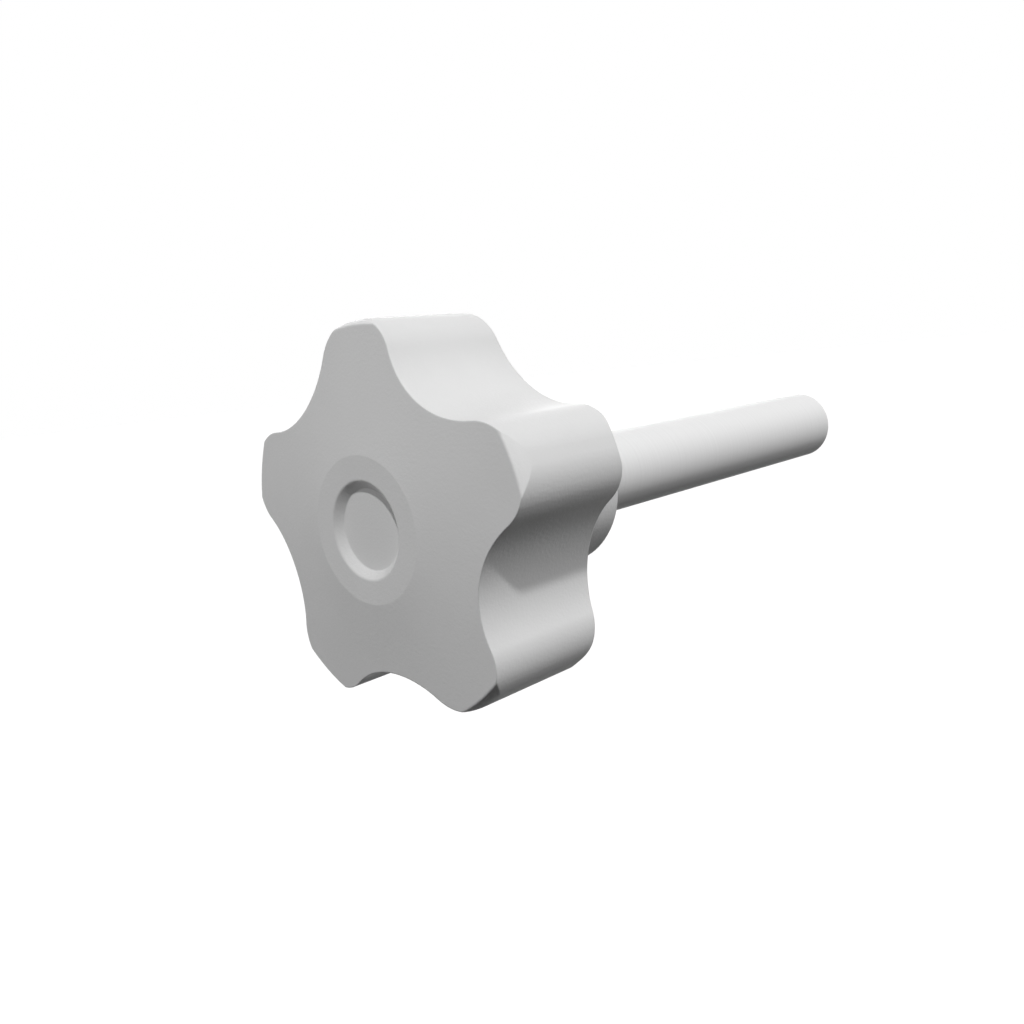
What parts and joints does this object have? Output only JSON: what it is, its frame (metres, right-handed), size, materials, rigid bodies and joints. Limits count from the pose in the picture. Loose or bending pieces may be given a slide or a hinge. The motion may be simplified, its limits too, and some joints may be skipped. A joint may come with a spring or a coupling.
{
  "type": "star knob",
  "caption": "Lobed hand grip with a coned face and a round centre recess, moulded on a plain steel stud that clamps or adjusts by hand.",
  "frame": {"origin": "centre of the hub's bearing face, where the stud leaves the grip", "axes": "+Y along the stud, away from the grip; +Z through the tip of the lobe that stands straight up; the grip's face looks along -Y"},
  "size_m": [0.0388, 0.0891, 0.0373],
  "materials": {
    "grip_plastic": "light grey moulded plastic with a fine even texture",
    "stud_steel": "pale satin steel, turned smooth along its length"
  },
  "bodies": {
    "root": {"knob_body": "grip_plastic", "stud": "stud_steel"}
  },
  "joints": []
}
